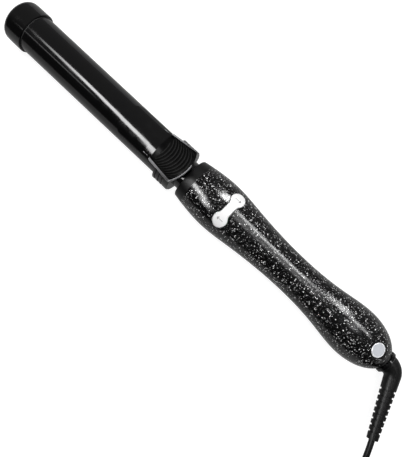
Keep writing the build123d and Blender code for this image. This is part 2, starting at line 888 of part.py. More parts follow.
power_lean = (power_thick + power_stem) * math.sin(math.radians(power_tilt))
power_switch_x = mouth_x + power_at - power_lean
with BuildPart() as power_switch:
    block(
        (power_switch_x - switch_side / 2, power_switch_x + switch_side / 2),
        (-switch_side / 2, switch_side / 2),
        (power_board_top, power_board_top + power_switch_height),
    )
    post(
        power_switch_x,
        0,
        (
            power_board_top + power_switch_height,
            power_board_top + power_switch_height + plunger_height,
        ),
        plunger_radius,
    )
save(power_switch, "power_switch")

# Screws that hold the half shells together, driven from below
with BuildPart() as shell_screws:
    for station in shell_screw_stations:
        x = mouth_x + station
        post(x, 0, (-shell_screw_depth, shell_screw_tip), shell_screw_radius)
        post(x, 0, (-shell_screw_depth - shell_screw_cap, -shell_screw_depth), shell_screw_head)
save(shell_screws, "shell_screws")

# Cord swivel: socket in the handle's end, drum that turns in it, and the ring outside
with BuildPart() as swivel_socket:
    disc(socket_rib_x, end_x, socket_radius, drum_radius + bearing_gap)
save(swivel_socket, "swivel_socket")

with BuildPart() as swivel_drum:
    disc(drum_x, drum_x + drum_flange, drum_flange_radius)
    disc(drum_x, ring_x + swivel_ring_length, drum_radius)
    disc(drum_x - stub_length, drum_x, stub_radius)
save(swivel_drum, "swivel_drum")

with BuildPart() as swivel_ring:
    disc(ring_x, ring_x + swivel_ring_length, swivel_ring_radius, drum_radius)
    ring_edges = swivel_ring.edges().filter_by(GeomType.CIRCLE).group_by(SortBy.RADIUS)[-1]
    chamfer(ring_edges, swivel_ring_edge)
save(swivel_ring, "swivel_ring")

contact_starts = [drum_x - stub_length + 1 + i * contact_pitch for i in range(2)]
contact_radius = stub_radius + contact_ring_height
with BuildPart() as swivel_contact_rings:
    for start in contact_starts:
        disc(start, start + contact_ring_width, contact_radius, stub_radius)
save(swivel_contact_rings, "swivel_contact_rings")

holder_top = -contact_radius - contact_drop
with BuildPart() as contact_holder:
    block(
        holder_span,
        (-contact_holder_half, contact_holder_half),
        (-drum_flange_radius, holder_top),
    )
save(contact_holder, "contact_holder")

with BuildPart() as swivel_contacts:
    for start in contact_starts:
        block(
            (start, start + contact_ring_width),
            (-contact_half, contact_half),
            (holder_top, -contact_radius - brush_gap),
        )
save(swivel_contacts, "swivel_contacts")

# Barrel tube, end cap and the insulator between them
with BuildPart() as barrel_tube:
    disc(cap_rim_x, tube_end_x, barrel_radius, bore_radius)
save(barrel_tube, "barrel_tube")

with BuildPart() as tip_insulator:
    disc(cap_rim_x - groove_width, cap_rim_x, barrel_radius)
    disc(cap_rim_x, cap_rim_x + insulator_depth, bore_radius)
    disc(
        cap_rim_x + groove_width,
        cap_rim_x + insulator_depth,
        bore_radius - 2 * barrel_wall,
        mode=Mode.SUBTRACT,
    )
save(tip_insulator, "tip_insulator")

cap_front_x = cap_rim_x - groove_width
with BuildPart() as tip_cap:
    with BuildSketch(lathe_plane) as cap_profile:
        with BuildLine():
            Polyline(
                (cap_front_x, 0),
                (cap_front_x, cap_radius),
                (cap_front_x - cap_straight, cap_radius),
                (tip_x, cap_radius - cap_taper),
                (tip_x, 0),
                close=True,
            )
        make_face()
        tip_corner = cap_profile.vertices().sort_by(Axis.X)[0:2].sort_by(Axis.Y)[-1]
        fillet(tip_corner, cap_edge)
    revolve(axis=spin_axis)
    disc(tip_x + cap_edge, cap_front_x, cap_radius - cap_wall - cap_taper, mode=Mode.SUBTRACT)
    rim = tip_cap.edges().filter_by(GeomType.CIRCLE).group_by(Axis.X)[-1]
    chamfer(rim.sort_by(SortBy.RADIUS)[-1], cap_rim_edge)
    disc(tip_x + cap_edge, cap_front_x, barrel_radius / 2)
save(tip_cap, "tip_cap")

# Base collar with its ring ribs, neck, tube seat, shaft bore and the pocket for the clamp's hinge
pocket_span = (mouth_x + pocket_front_at, mouth_x + pocket_rear_at)
with BuildPart() as base_collar:
    disc(collar_front_x, collar_rear_x, collar_radius)
    rear_edges = base_collar.edges().filter_by(GeomType.CIRCLE).group_by(Axis.X)
    chamfer(rear_edges[-1], collar_chamfer)
    for i in range(ring_count):
        groove_x = collar_front_x + ring_width + i * ring_pitch
        disc(
            groove_x,
            groove_x + ring_pitch - ring_width,
            beyond,
            collar_radius - ring_depth,
            mode=Mode.SUBTRACT,
        )
    disc(collar_rear_x, mouth_x + neck_entry, neck_radius)
    disc(collar_front_x, tube_end_x, barrel_radius, mode=Mode.SUBTRACT)
    disc(tube_end_x, mouth_x + neck_entry, shaft_radius, mode=Mode.SUBTRACT)
    flange_screws(tube_end_x, small_screw_radius, collar_pilot, Mode.SUBTRACT)
    block(pocket_span, (-pocket_half, pocket_half), (pocket_floor, beyond), Mode.SUBTRACT)
    cross_rod(
        hinge_x, hinge_height, (-hinge_pin_half, hinge_pin_half), hinge_pin_radius, Mode.SUBTRACT
    )
save(base_collar, "base_collar")

with BuildPart() as collar_screws:
    flange_screws(shaft_flange_x, small_screw_radius, shaft_flange + collar_pilot)
    flange_screws(shaft_flange_x - small_screw_cap, small_screw_head, small_screw_cap)
save(collar_screws, "collar_screws")

# Hinge pin and the torsion spring round it
with BuildPart() as hinge_pin:
    cross_rod(hinge_x, hinge_height, (-hinge_pin_half, hinge_pin_half), hinge_pin_radius)
save(hinge_pin, "hinge_pin")

spring_start_y = -spring_half_turns * spring_pitch / 4
hinge_centre = Vector(hinge_x, spring_start_y, axis_height + hinge_height)
down = Vector(0, 0, -spring_radius)
sideways = Vector(0, spring_pitch / 2, 0)
with BuildPart() as clamp_spring:
    with BuildLine() as wire:
        here = hinge_centre + down
        heading = Vector(-1, 0, 0)
        Line(Vector(pocket_span[1], here.Y, here.Z), here)
        for i in range(spring_half_turns):
            there = hinge_centre + sideways * (i + 1) + down * (-1) ** (i + 1)
            biarc(here, heading, there, heading * -1)
            here = there
            heading = heading * -1
        Line(here, here + heading * spring_radius * 2)
    with BuildSketch(Plane(origin=wire.line @ 0, z_dir=(-1, 0, 0))) as wire_section:
        RegularPolygon(spring_wire, spring_sides)
    sweep()
save(clamp_spring, "clamp_spring")

# The clamp's shell over the barrel
clamp_width = 2 * clamp_outer * math.sin(math.radians(clamp_half_angle))
clamp_span = (mouth_x + clamp_tip_at, mouth_x + clamp_rear_at)
with BuildPart() as clamp_shell:
    with BuildSketch(lathe_plane) as clamp_outline:
        with Locations(((clamp_span[0] + clamp_span[1]) / 2, 0)):
            Rectangle(clamp_span[1] - clamp_span[0], clamp_width)
        fillet(clamp_outline.vertices().group_by(Axis.X)[0], clamp_corner)
    extrude(amount=beyond)
    disc(*clamp_span, clamp_outer, mode=Mode.INTERSECT)
    disc(*clamp_span, clamp_inner, mode=Mode.SUBTRACT)
save(clamp_shell, "clamp_shell")


# The thumb lever, its rim and its ribbed grip share one arch that rises to the rear
def lever_outline(inset=0.0):
    """The lever seen from above, drawn in by inset."""
    front = mouth_x + lever_front_at
    corner = mouth_x + lever_corner_at
    with BuildSketch(lathe_plane) as outline:
        with BuildLine():
            left = Line((front, lever_front_half), (corner, lever_rear_half))
            rear = ThreePointArc(
                left @ 1, (mouth_x + lever_rear_at, 0), (corner, -lever_rear_half)
            )
            right = Line(rear @ 1, (front, -lever_front_half))
            Line(right @ 1, left @ 0)
        make_face()
        fillet(outline.vertices().group_by(Axis.X)[-1], lever_corner_round)
        if inset > 0:
            offset(amount=-inset)
    return outline.sketch


slope = math.radians(lever_slope)
lever_line = Plane(
    origin=(mouth_x + lever_front_at, 0, axis_height),
    x_dir=(0, 1, 0),
    z_dir=(math.cos(slope), 0, math.sin(slope)),
)
lever_length = lever_rear_at - lever_front_at


def lever_arch(inner, outer):
    """A sloping arch between two radii, longer than the lever."""
    with BuildPart() as piece:
        with BuildSketch(lever_line.offset(-lever_length / 2)):
            Circle(outer)
            Circle(inner, mode=Mode.SUBTRACT)
        extrude(amount=2 * lever_length)
    return piece.part


lever_top = lever_inner + lever_thick
plate_arch = lever_arch(lever_inner, lever_top)
rim_arch = lever_arch(lever_inner, lever_top + lever_rim_rise)
lever_plan = lever_outline()
lever_field = lever_outline(lever_rim_width)
foot_span = (mouth_x + lever_foot_at, mouth_x + clamp_rear_at)
foot_half = lever_front_half - lever_rim_width
with BuildPart() as lever_plate:
    extrude(lever_plan, amount=beyond)
    add(plate_arch, mode=Mode.INTERSECT)
with BuildPart() as lever_rim:
    extrude(lever_plan, amount=beyond)
    extrude(lever_field, amount=beyond, mode=Mode.SUBTRACT)
    add(rim_arch, mode=Mode.INTERSECT)
    block(
        (mouth_x + lever_foot_at, mouth_x + lever_front_at + lever_rim_width),
        (-foot_half, foot_half),
        (0, beyond),
        Mode.SUBTRACT,
    )
with BuildPart() as lever_foot:
    disc(*foot_span, lever_inner + lever_thick / 2, clamp_outer)
    block(foot_span, (-foot_half, foot_half), (0, beyond), Mode.INTERSECT)
with BuildPart() as hinge_lugs:
    for side in (-1, 1):
        span = sorted((side * hinge_lug_inner, side * hinge_lug_outer))
        cross_rod(hinge_x, hinge_height, span, hinge_lug_radius)
        block(
            (hinge_x - hinge_lug_radius * 0.8, hinge_x + hinge_lug_radius * 0.8),
            span,
            (hinge_height, lever_inner + lever_thick),
        )
with BuildPart() as thumb_lever:
    add(lever_plate.part)
    add(lever_rim.part)
    add(lever_foot.part)
    add(hinge_lugs.part)
    cross_rod(
        hinge_x,
        hinge_height,
        (-hinge_pin_half, hinge_pin_half),
        hinge_pin_radius + bearing_gap,
        Mode.SUBTRACT,
    )
save(thumb_lever, "thumb_lever")


def grip_rib(sketch_apex):
    """One rib seen from above: an arc that bulges to the rear."""
    middle = sketch_apex - grip_rib_radius
    with BuildSketch(lathe_plane) as rib:
        with Locations((middle, 0)):
            Circle(grip_rib_radius)
            Circle(grip_rib_radius - grip_rib_width, mode=Mode.SUBTRACT)
        with Locations((middle - grip_rib_radius, 0)):
            Rectangle(2 * grip_rib_radius, 4 * grip_rib_radius, mode=Mode.SUBTRACT)
    return rib.sketch


grip_bed_arch = lever_arch(lever_top, lever_top + grip_thick)
grip_rib_arch = lever_arch(lever_top, lever_top + grip_rise)
grip_first = mouth_x + grip_first_at
with BuildPart() as grip_bed:
    extrude(lever_field, amount=beyond)
    disc(mouth_x + lever_foot_at, mouth_x + clamp_rear_at, beyond, mode=Mode.SUBTRACT)
    add(grip_bed_arch, mode=Mode.INTERSECT)
with BuildPart() as grip_ribs:
    for i in range(grip_rib_count):
        extrude(grip_rib(grip_first + i * grip_rib_pitch), amount=beyond)
    extrude(lever_field, amount=beyond, mode=Mode.INTERSECT)
    disc(mouth_x + clamp_rear_at, mouth_x, beyond, mode=Mode.INTERSECT)
    add(grip_rib_arch, mode=Mode.INTERSECT)
with BuildPart() as lever_grip:
    add(grip_bed.part)
    add(grip_ribs.part)
save(lever_grip, "lever_grip")

# Heater: two hollow half-round blocks that press three plates between them
heater_span = (cap_rim_x + insulator_depth + end_gap, collar_front_x - heater_room)


def heater_block(side):
    """One half-round heater block, above or below the plates."""
    near, far = sorted((side * plate_thick / 2, side * beyond))
    with BuildPart() as piece:
        disc(*heater_span, bore_radius)
        block(heater_span, (-beyond, beyond), (near, far), Mode.INTERSECT)
        with BuildSketch(cross_plane(heater_span[0])) as hollow:
            Circle(bore_radius - heater_wall)
            with Locations((0, -side * beyond / 2 + side * (plate_thick / 2 + heater_wall))):
                Rectangle(2 * beyond, beyond, mode=Mode.SUBTRACT)
        extrude(amount=heater_span[1] - heater_span[0], mode=Mode.SUBTRACT)
    return piece


save(heater_block(1), "heater_block_upper")
save(heater_block(-1), "heater_block_lower")

plates_reach = plate_count * plate_length + (plate_count - 1) * plate_gap
first_plate_x = heater_span[1] - plates_reach
with BuildPart() as heater_plates:
    for i in range(plate_count):
        start = first_plate_x + i * (plate_length + plate_gap)
        block(
            (start, start + plate_length),
            (-plate_width / 2, plate_width / 2),
            (-plate_thick / 2, plate_thick / 2),
        )
save(heater_plates, "heater_plates")

sensor_seat = plate_thick / 2 + heater_wall
sensor_end = heater_span[1] - sensor_back
with BuildPart() as thermistor:
    disc(
        sensor_end - thermistor_length,
        sensor_end,
        thermistor_radius,
        height=-sensor_seat - thermistor_radius,
    )
save(thermistor, "thermistor")

with BuildPart() as thermal_fuse:
    disc(sensor_end - fuse_length, sensor_end, fuse_radius, height=sensor_seat + fuse_radius)
save(thermal_fuse, "thermal_fuse")

with BuildPart() as heater_leads:
    with BuildSketch(cross_plane(heater_span[1])) as lead_ends:
        with Locations((-lead_pitch, 0), (0, 0), (lead_pitch, 0)):
            Circle(lead_radius)
    extrude(amount=sleeve_x + sleeve_length - heater_span[1])
save(heater_leads, "heater_leads")

# Strain relief boot: a swept elbow, then a straight tapered part with grooves round it
turn = math.radians(boot_turn)
boot_start = Vector(ring_x + swivel_ring_length, 0, axis_height)
elbow_start = boot_start + Vector(boot_lead, 0, 0)
elbow_end = elbow_start + Vector(
    boot_elbow_radius * math.sin(turn), boot_elbow_radius * (math.cos(turn) - 1), 0
)
boot_heading = Vector(math.cos(turn), -math.sin(turn), 0)
boot_end = elbow_end + boot_heading * boot_length
boot_plane = Plane(origin=elbow_end, x_dir=(0, 0, 1), z_dir=boot_heading)
with BuildPart() as cord_boot:
    with BuildLine() as elbow:
        Line(boot_start, elbow_start)
        TangentArc(elbow_start, elbow_end, tangent=(1, 0, 0))
    with BuildSketch(Plane(origin=boot_start, z_dir=(1, 0, 0))) as boot_root:
        Circle(boot_radius)
    with BuildSketch(boot_plane) as boot_waist:
        Circle(boot_waist_radius)
    sweep(multisection=True)
    with BuildSketch(boot_plane.offset(boot_length)) as boot_tip:
        Circle(boot_tip_radius)
    loft([boot_waist.sketch.face(), boot_tip.sketch.face()], ruled=True)
    for i in range(boot_groove_count):
        place = boot_smooth + i * boot_groove_pitch
        share = (place + boot_groove_width) / boot_length
        skin = boot_waist_radius + (boot_tip_radius - boot_waist_radius) * share
        with BuildSketch(boot_plane.offset(place)) as groove:
            Circle(boot_radius + 1)
            Circle(skin - boot_groove_depth, mode=Mode.SUBTRACT)
        extrude(amount=boot_groove_width, mode=Mode.SUBTRACT)
save(cord_boot, "cord_boot")

# Cord section: a hexagon of the round cord's area, flat below
section_apothem = cord_radius * math.sqrt(math.pi / (cord_sides * math.tan(math.pi / cord_sides)))
section_corner = section_apothem / math.cos(math.pi / cord_sides)
section_area = math.pi * cord_radius**2


def cord_section(place, heading):
    """The cord's section across its heading, with a flat side up and down."""
    across = heading.cross(Vector(0, 0, 1)).normalized()
    with BuildSketch(Plane(origin=place, x_dir=across, z_dir=heading)) as face:
        RegularPolygon(section_corner, cord_sides)
    return face.sketch


# Route of the cord from the boot down to the floor and to the coil, in millimetres from the
# boot's end: along the boot's heading, to its left, and up. It lies on the tie's thickness.
lying_height = section_apothem + tie_gap + tie_thick
route_steps = [
    (0.0, 0.0, 0.0),
    (10.0, 0.0, 0.0),
    (19.4, 0.3, -3.4),
    (30.7, 0.9, -12.9),
    (40.1, 1.3, lying_height - axis_height),
    (50.1, 1.3, lying_height - axis_height),
]
boot_left = Vector(math.sin(turn), math.cos(turn), 0)
route = [
    boot_end + boot_heading * along + boot_left * left + Vector(0, 0, up)
    for along, left, up in route_steps
]
runs = [after - before for before, after in zip(route, route[1:])]
turns = [before.get_angle(after) for before, after in zip(runs, runs[1:])]
radii = [
    0.45 * min(before.length, after.length) / math.tan(math.radians(angle) / 2)
    for before, after, angle in zip(runs, runs[1:], turns)
]
with BuildPart() as cord:
    with BuildLine() as cord_line:
        FilletPolyline(*route, radius=radii)
    sweep(cord_section(route[0], boot_heading), path=cord_line.line)
save(cord, "cord")
cord_length = cord_line.wire().length
print("cord radii", [round(radius, 1) for radius in radii])
print("cord volume over section times length", cord.part.volume / (section_area * cord_length))

# The coil: layers that spiral in and out, each climbed to in the half turn where it reverses
coil_start = route[-1]
coil_heading = runs[-1].normalized()
coil_outward = Vector(coil_heading.Y, -coil_heading.X, 0)
coil_middle = coil_start - coil_outward * coil_outer
offsets = [(coil_outer, 0.0)]
for layer in range(coil_layers):
    change = coil_step / 2 * (-1) ** (layer + 1)
    for _ in range(layer_half_turns):
        offsets.append((offsets[-1][0] + change, offsets[-1][1]))
    offsets.append((offsets[-1][0], offsets[-1][1] + layer_rise))
coil_points = [
    coil_middle + coil_outward * (distance * (-1) ** i) + Vector(0, 0, height)
    for i, (distance, height) in enumerate(offsets)
]
last_heading = coil_heading * (-1) ** (len(coil_points) - 1)
last_outward = coil_outward * (-1) ** (len(coil_points) - 1)
tail_start = coil_points[-1]
tail_heading = last_outward * -1
tail_end = tail_start + (last_heading + tail_heading) * tail_radius + Vector(0, 0, tail_rise)
plug_start = tail_end + tail_heading * tail_run
with BuildPart() as cord_coil:
    with BuildLine() as coil_line:
        heading = coil_heading
        for here, there in zip(coil_points, coil_points[1:]):
            biarc(here, heading, there, heading * -1)
            heading = heading * -1
        biarc(tail_start, heading, tail_end, tail_heading)
        Line(tail_end, plug_start)
    sweep(cord_section(coil_start, coil_heading), path=coil_line.line)
save(cord_coil, "cord_coil")
coil_path = coil_line.wire()
coil_length = coil_path.length
print("coil volume over section times length", cord_coil.part.volume / (section_area * coil_length))
print("cord length", cord_length + coil_length)

# Least gap between turns of the coil, measured on points along its middle line
samples = 900
trail = [tuple(coil_path @ (i / samples)) for i in range(samples + 1)]
skip = int(samples * 4 * math.pi * cord_radius / coil_length)
near = min(
    math.dist(trail[i], trail[j]) for i in range(samples + 1) for j in range(i + skip, samples + 1)
)
print("least gap of the coil to itself", near - 2 * section_corner)

# Plug lying across the coil, with two flat blades
plug_plane = Plane(origin=plug_start, x_dir=tail_heading.cross(Vector(0, 0, 1)), z_dir=tail_heading)
with BuildPart() as plug_body:
    with BuildSketch(plug_plane) as plug_root:
        RectangleRounded(2 * plug_root_half_width, 2 * plug_root_half_height, plug_root_round)
    with BuildSketch(plug_plane.offset(plug_length / 3)) as plug_shoulder:
        RectangleRounded(2 * plug_half_width, 2 * plug_half_height, plug_round)
    loft()
    extrude(plug_shoulder.sketch, amount=plug_length * 2 / 3)
    chamfer(plug_body.faces().sort_by(Axis(plug_start, tail_heading))[-1].edges(), plug_edge)
save(plug_body, "plug_body")

blade_start = plug_plane.offset(plug_length)
with BuildPart() as plug_blades:
    with BuildSketch(blade_start) as blade_roots:
        with Locations((-blade_spacing / 2, 0), (blade_spacing / 2, 0)):
            Rectangle(blade_thick, blade_width)
    extrude(amount=blade_length)
    blade_tips = plug_blades.edges().group_by(Axis(plug_start, tail_heading))[-1]
    fillet(blade_tips.group_by(SortBy.LENGTH)[0], blade_thick)
save(plug_blades, "plug_blades")

# Tie round the turns, across from the place where the cord comes in
coil_inner = coil_outer - layer_half_turns * coil_step / 2
tie_inner = math.sqrt(coil_inner**2 - (tie_width / 2) ** 2) - section_corner - tie_gap
tie_outer = coil_outer + section_corner + tie_gap
tie_radial = tie_outer - tie_inner
tie_low = -section_apothem - tie_gap
tie_high = (coil_layers - 1) * layer_rise + section_corner + tie_gap
tie_height = tie_high - tie_low
tie_centre = coil_middle - coil_outward * ((tie_outer + tie_inner) / 2)
tie_plane = Plane(
    origin=tie_centre + Vector(0, 0, (tie_low + tie_high) / 2),
    x_dir=coil_outward,
    z_dir=coil_heading,
)
with BuildPart() as coil_tie:
    with BuildSketch(tie_plane):
        RectangleRounded(tie_radial + 2 * tie_thick, tie_height + 2 * tie_thick, 1.5 * tie_thick)
        Rectangle(tie_radial, tie_height, mode=Mode.SUBTRACT)
    extrude(amount=tie_width / 2, both=True)
save(coil_tie, "coil_tie")
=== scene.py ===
import json
import math

import bpy
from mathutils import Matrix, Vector


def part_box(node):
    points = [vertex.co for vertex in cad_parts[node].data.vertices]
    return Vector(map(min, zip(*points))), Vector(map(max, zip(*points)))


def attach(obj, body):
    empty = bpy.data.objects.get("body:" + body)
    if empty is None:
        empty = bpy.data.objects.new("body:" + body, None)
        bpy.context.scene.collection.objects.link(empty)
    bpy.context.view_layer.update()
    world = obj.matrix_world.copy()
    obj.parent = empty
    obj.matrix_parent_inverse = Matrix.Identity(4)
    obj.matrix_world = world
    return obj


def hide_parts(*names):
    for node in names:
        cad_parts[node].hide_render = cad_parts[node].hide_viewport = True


# Rotating curling iron on a plain pale floor, seen nearly from above. The barrel points along -X,
# the handle along +X, and the buttons face +Z. Lengths are in metres, in the frame's axes.

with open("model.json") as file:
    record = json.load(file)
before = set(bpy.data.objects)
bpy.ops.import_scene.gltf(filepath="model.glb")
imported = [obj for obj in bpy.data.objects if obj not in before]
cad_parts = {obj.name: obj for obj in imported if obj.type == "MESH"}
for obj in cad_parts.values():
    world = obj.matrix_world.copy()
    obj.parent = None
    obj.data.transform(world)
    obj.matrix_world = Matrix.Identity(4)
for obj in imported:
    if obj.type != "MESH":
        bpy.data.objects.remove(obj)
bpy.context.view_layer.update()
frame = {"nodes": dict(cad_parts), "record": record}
nodes = frame["nodes"]
slot_of = {piece["node"]: piece["material_slot"] for piece in frame["record"]["subparts"]}


def box_middle(node):
    """The middle of a node's box at rest."""
    low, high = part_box(node)
    return (low + high) / 2


# Camera, from the photograph's perspective
PHOTO_HEIGHT = 457
FOCAL_PIXELS = 500.0
SENSOR_SIZE = 36.0
AZIMUTH = math.radians(43.65)
ELEVATION = math.radians(82.7)
DISTANCE = 0.3812
LOOKED_AT = Vector((0.0293, -0.0203, 0.0176))

# The tool's own places, as the frame has them
AXIS_HEIGHT = box_middle("barrel_tube").z
BOOT_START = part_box("swivel_ring")[1].x
ROCKER_X = box_middle("rocker_button").x
BUTTON_X = box_middle("power_button").x

# The arrows on the rocker: their distance from its middle, half length, line width and barbs
LOBE_MIDDLE = 0.00965
ARROW_HALF = 0.0026
ARROW_LINE = 0.00034
BARB_SLOPE = 0.7

# Distance from the power button's middle to where its rim, which gets a painted highlight, begins
BUTTON_RIM = 0.0047

# The thumb lever's front, where its foot begins
LEVER_FRONT = -0.0347

# The lever's side rims: the half width at which they begin, at X = 0 and its growth along X, and
# how strong their painted highlight is at two places along X
RIM_START = 0.01575
RIM_SPREAD = 0.109
RIM_ENDS = (LEVER_FRONT, -0.0127)
RIM_PAINTED_HIGHLIGHT = (1.0, 0.3)

# The lever's rounded rear edge: its centre along X, its radius, and how far across its painted
# glint reaches
REAR_EDGE_MIDDLE = -0.0283
REAR_EDGE_REACH = 0.0217
REAR_GLINT_END = 0.004

# Roughness and reflectance of the lever and of its foot, and how unevenly they vary
LEVER_ROUGHNESS = 0.3
LEVER_SPECULAR = 0.08
FOOT_ROUGHNESS = 0.1
FOOT_SPECULAR = 0.5
FOOT_UNEVENNESS = 0.02

# Ribs of the lever's grip: the first one's apex, their pitch and radius, and each one's share that
# stays dark before the painted highlight along its rear edge
GRIP_FIRST = -0.0263
GRIP_PITCH = 0.0026
GRIP_RADIUS = 0.014
GRIP_DARK_SHARE = 0.72

# Colours that several materials share
PLASTIC_BLACK = (0.001, 0.001, 0.0011)
RUBBER_BLACK = (0.0008, 0.0008, 0.0008)
BLACK = (0.0, 0.0, 0.0)
WHITE = (1.0, 1.0, 1.0)

# Ranges that spread() maps from: the middle of a noise texture's values, and all from 0 to 1
NOISE_SPAN = (0.3, 0.7)
FULL_SPAN = (0.0, 1.0)

# The cord, and the boot's elbow and length, from which the cord comes out
CORD_DIAMETER = 0.0045
BOOT_TURN = math.radians(67.0)
BOOT_LEAD = 0.0012
BOOT_ELBOW = 0.0088
BOOT_LENGTH = 0.0462

# Height of the cord's line where it lies, and its first points: along the boot, to its left, up
LYING = 0.00309
ROUTE_STEPS = (
    (0.0, 0.0, 0.0),
    (0.0100, 0.0, 0.0),
    (0.0194, 0.0003, -0.0034),
    (0.0307, 0.0009, -0.0129),
    (0.0401, 0.0013, LYING - AXIS_HEIGHT),
    (0.0501, 0.0013, LYING - AXIS_HEIGHT),
)

# The coil: its outer radius, how much a turn adds or takes off, its layers and the rise to the next
COIL_OUTER = 0.034
COIL_STEP = 0.0072
COIL_LAYERS = 4
LAYER_HALF_TURNS = 4
LAYER_RISE = 0.0064
POINTS_PER_HALF_TURN = 8

# Weight of a point of the cord's spline on the curve beside it; its two neighbours share the rest
SPLINE_WEIGHT = 0.75

# The cord's last bend, over the coil to the plug
TAIL_RADIUS = 0.018
TAIL_RISE = 0.0032
TAIL_RUN = 0.004

# The floor: half its width, how far it lies below the tool, its grey, and the light that the
# camera, a mirroring surface and a clear one see in it
FLOOR_HALF = 4.0
FLOOR_DROP = 0.0002
FLOOR_GREY = (0.25, 0.25, 0.25)
FLOOR_GLOW = (("Is Camera Ray", 0.9), ("Is Glossy Ray", 0.2), ("Is Transmission Ray", 0.12))

# The world's light on its dark and its bright side, and where along Y it goes from one to the other
WORLD_DARK = 0.05
WORLD_BRIGHT = 0.22
WORLD_SPAN = (-0.65, -0.1)

# The soft lamp over the tool
SOFT_PLACE = (0.1, 0.2, 1.5)
SOFT_SIZE = (1.1, 1.1)
SOFT_POWER = 26.0

# Height of the panels whose highlights lie on the tool
PANEL_HEIGHT = 1.0

# Long panel whose highlight runs down the barrel: places along X, its two edges there and its light
BARREL_PANEL = (
    (-0.76, -0.27, -0.12, 5.0),
    (-0.71, -0.29, -0.10, 9.0),
    (-0.66, -0.31, -0.10, 14.0),
    (-0.61, -0.35, -0.10, 17.0),
    (-0.55, -0.43, -0.13, 17.0),
    (-0.50, -0.55, -0.17, 17.0),
    (-0.45, -0.60, -0.22, 17.0),
    (-0.40, -0.64, -0.25, 17.0),
    (-0.35, -0.62, -0.30, 17.0),
    (-0.30, -0.62, -0.36, 17.0),
)

# The panels of the other highlights: each one's spans along X and Y and its light
GLINT_PANELS = (
    ("swell_panel", (-0.40, -0.25), (-1.15, -0.55), 15.0),
    ("swell_rear_panel", (-0.25, -0.16), (-1.15, -0.55), 5.0),
    ("rocker_panel", (-0.14, 0.04), (0.45, 1.3), 30.0),
    ("front_crest_panel", (0.2, 0.28), (0.36, 0.62), 20.0),
    ("front_slope_panel", (0.2, 0.28), (-0.1, 0.36), 3.0),
    ("middle_crest_panel", (0.18, 0.2), (-0.1, 0.22), 7.0),
    ("rear_crest_panel", (0.14, 0.175), (0.1, 0.4), 1.2),
    ("rear_glint_panel", (0.27, 0.72), (0.38, 0.56), 7.0),
    ("second_line_panel", (-1.0, -0.66), (-0.85, -0.74), 2.0),
)


# Helpers for node trees
def give(tree, socket, value):
    """Sets a socket to a plain number or colour, or links another node's value to it."""
    if isinstance(value, bpy.types.NodeSocket):
        tree.links.new(value, socket)
    elif isinstance(value, tuple):
        socket.default_value = (*value, 1.0)
    else:
        socket.default_value = value


def feed(tree, socket, value):
    """Gives a value to a socket of the tree's shader."""
    give(tree, tree.nodes["Principled BSDF"].inputs[socket], value)


def new_material(name, colour, roughness, metallic=0.0, specular=0.5):
    """A material and its own node tree."""
    material = bpy.data.materials.new(name)
    material.use_nodes = True
    tree = material.node_tree
    feed(tree, "Base Color", colour)
    feed(tree, "Roughness", roughness)
    feed(tree, "Metallic", metallic)
    feed(tree, "Specular IOR Level", specular)
    return material, tree


def object_coordinates(tree):
    """The coordinates of the piece itself, in metres."""
    return tree.nodes.new("ShaderNodeTexCoord").outputs["Object"]


def separate(tree, vector):
    """The X and Y of a vector, as two values."""
    parts = tree.nodes.new("ShaderNodeSeparateXYZ")
    give(tree, parts.inputs["Vector"], vector)
    return parts.outputs["X"], parts.outputs["Y"]


def plan_coordinates(tree):
    """The piece's own X and Y, along and across the tool, in metres."""
    return separate(tree, object_coordinates(tree))


def noise(tree, scale):
    """A noise texture over the piece, its scale in waves per metre."""
    texture = tree.nodes.new("ShaderNodeTexNoise")
    give(tree, texture.inputs["Scale"], scale)
    give(tree, texture.inputs["Vector"], object_coordinates(tree))
    return texture.outputs["Fac"]


def spread(tree, value, low, high, span=NOISE_SPAN):
    """Maps a value from a span to a range of its own."""
    mapped = tree.nodes.new("ShaderNodeMapRange")
    give(tree, mapped.inputs["Value"], value)
    give(tree, mapped.inputs["From Min"], span[0])
    give(tree, mapped.inputs["From Max"], span[1])
    give(tree, mapped.inputs["To Min"], low)
    give(tree, mapped.inputs["To Max"], high)
    return mapped.outputs["Result"]


def calculate(tree, operation, first, second=0.0):
    """One step of arithmetic, with one value or between two."""
    step = tree.nodes.new("ShaderNodeMath")
    step.operation = operation
    give(tree, step.inputs[0], first)
    give(tree, step.inputs[1], second)
    return step.outputs["Value"]


def distance_from(tree, middle_x):
    """Distance in plan from the place that lies on the tool's middle line at an X."""
    along, across = plan_coordinates(tree)
    along = calculate(tree, "SUBTRACT", along, middle_x)
    along_square = calculate(tree, "MULTIPLY", along, along)
    across_square = calculate(tree, "MULTIPLY", across, across)
    return calculate(tree, "SQRT", calculate(tree, "ADD", along_square, across_square))


def mix_colours(tree, amount, first, second, blend="MIX"):
    """Mixes two colours, each a plain one or another node's, by an amount."""
    mix = tree.nodes.new("ShaderNodeMix")
    mix.data_type = "RGBA"
    mix.blend_type = blend
    give(tree, mix.inputs["Factor"], amount)
    give(tree, mix.inputs["A"], first)
    give(tree, mix.inputs["B"], second)
    return mix.outputs["Result"]


def add_bump(tree, scale, strength, distance, socket="Normal"):
    """Raises the surface, or its coat, a little where a noise is high."""
    bump = tree.nodes.new("ShaderNodeBump")
    give(tree, bump.inputs["Strength"], strength)
    give(tree, bump.inputs["Distance"], distance)
    give(tree, bump.inputs["Height"], noise(tree, scale))
    feed(tree, socket, bump.outputs["Normal"])


def uneven_roughness(tree, scale, low, high):
    """Lets the gloss vary over the piece."""
    feed(tree, "Roughness", spread(tree, noise(tree, scale), low, high))


# Materials
def gloss_black():
    """Moulded black plastic with a polished face."""
    material, tree = new_material("gloss_black", PLASTIC_BLACK, roughness=0.08)
    uneven_roughness(tree, scale=90.0, low=0.05, high=0.11)
    add_bump(tree, scale=60.0, strength=0.05, distance=0.0001)
    return material


